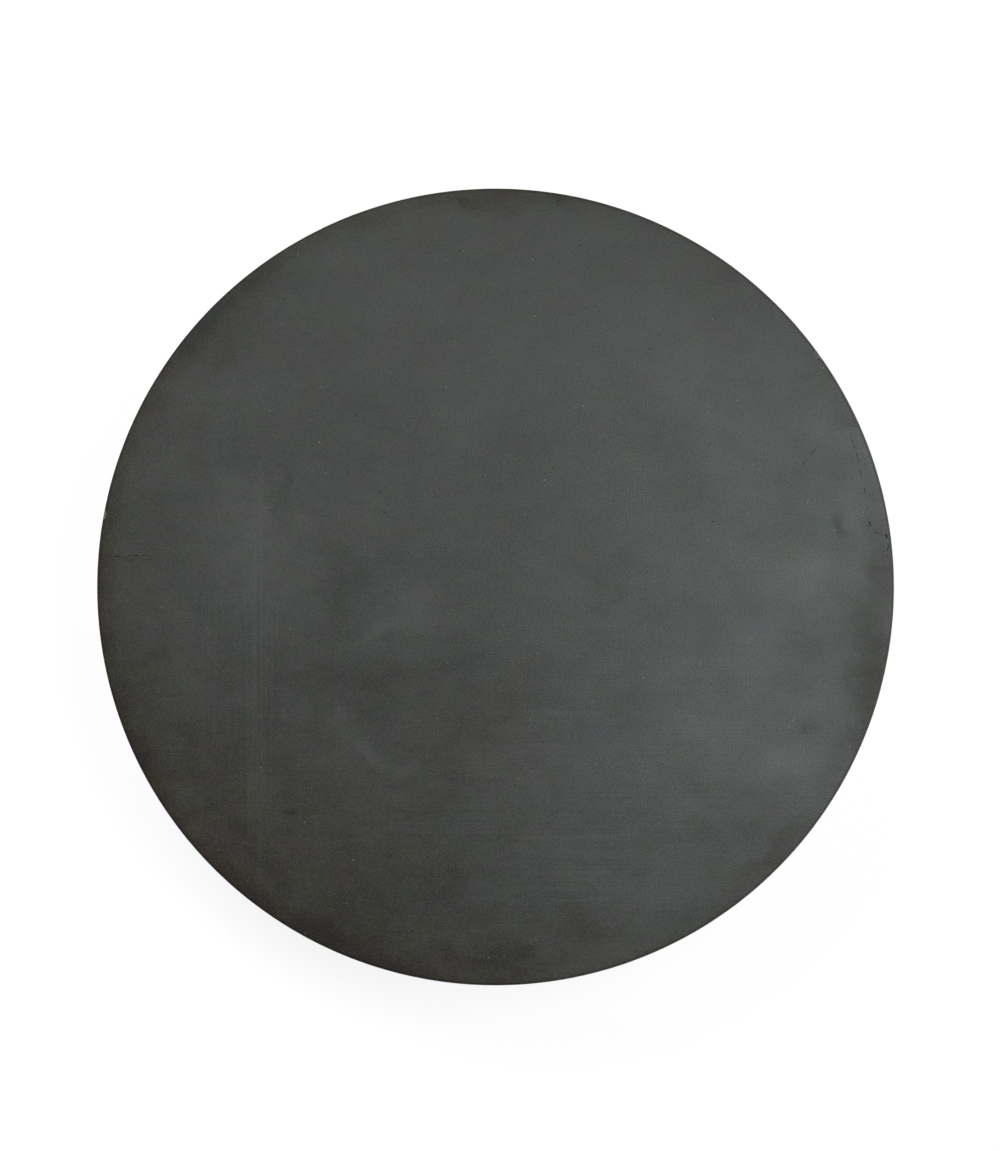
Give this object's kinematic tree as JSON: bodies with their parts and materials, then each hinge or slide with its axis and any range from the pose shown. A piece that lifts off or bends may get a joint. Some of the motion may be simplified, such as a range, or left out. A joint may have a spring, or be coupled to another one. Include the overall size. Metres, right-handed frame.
{
  "type": "disc magnet",
  "caption": "Plain round sintered ferrite disc magnet with ground flat pole faces, a straight side wall and lightly rounded edges that carry small chips.",
  "frame": {"origin": "middle of the lower pole face, where the disc rests", "axes": "+Z along the disc's axis, out of the upper pole face; +X and +Y lie in the lower pole face, and the larger edge chip is 35.5 degrees from +X towards +Y"},
  "size_m": [0.06, 0.06, 0.01],
  "materials": {
    "ferrite": "ground satin pole faces, matt as-fired side wall"
  },
  "bodies": {
    "root": {"ferrite_disc": "ferrite"}
  },
  "joints": []
}
